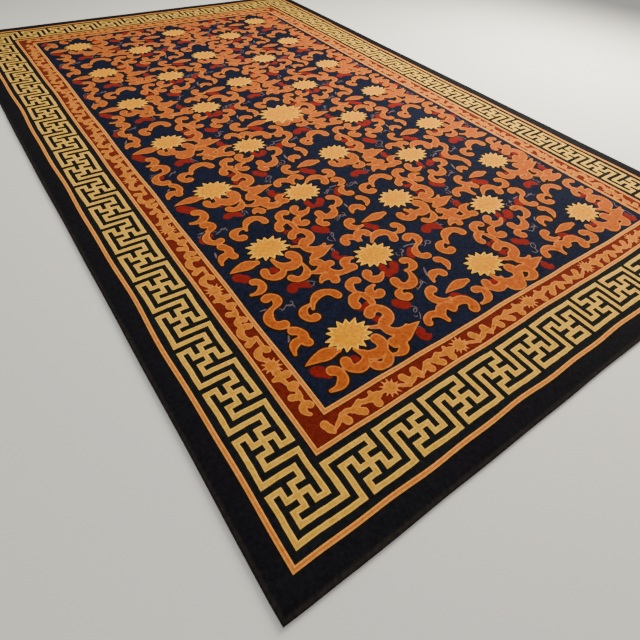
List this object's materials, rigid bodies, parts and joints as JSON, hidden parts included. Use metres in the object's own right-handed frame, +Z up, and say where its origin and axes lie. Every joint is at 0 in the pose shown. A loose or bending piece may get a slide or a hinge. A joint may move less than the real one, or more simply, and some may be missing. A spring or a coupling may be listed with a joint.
{
  "type": "chinese art deco rug",
  "caption": "Large flat hand-knotted wool rug with a plain dark edge, key-fret border, vine band and a navy field of scrolls and star flowers.",
  "frame": {"origin": "bottom centre: under the middle of the rug's outline, on the floor", "axes": "+Z up out of the pile, +Y along the rug's length, +X across its width"},
  "size_m": [3.0486, 4.8786, 0.0141],
  "materials": {
    "wool_pile": "thick cut wool pile, navy ground with gold, orange and dark red pattern"
  },
  "bodies": {
    "root": {"rug": "wool_pile"}
  },
  "joints": []
}
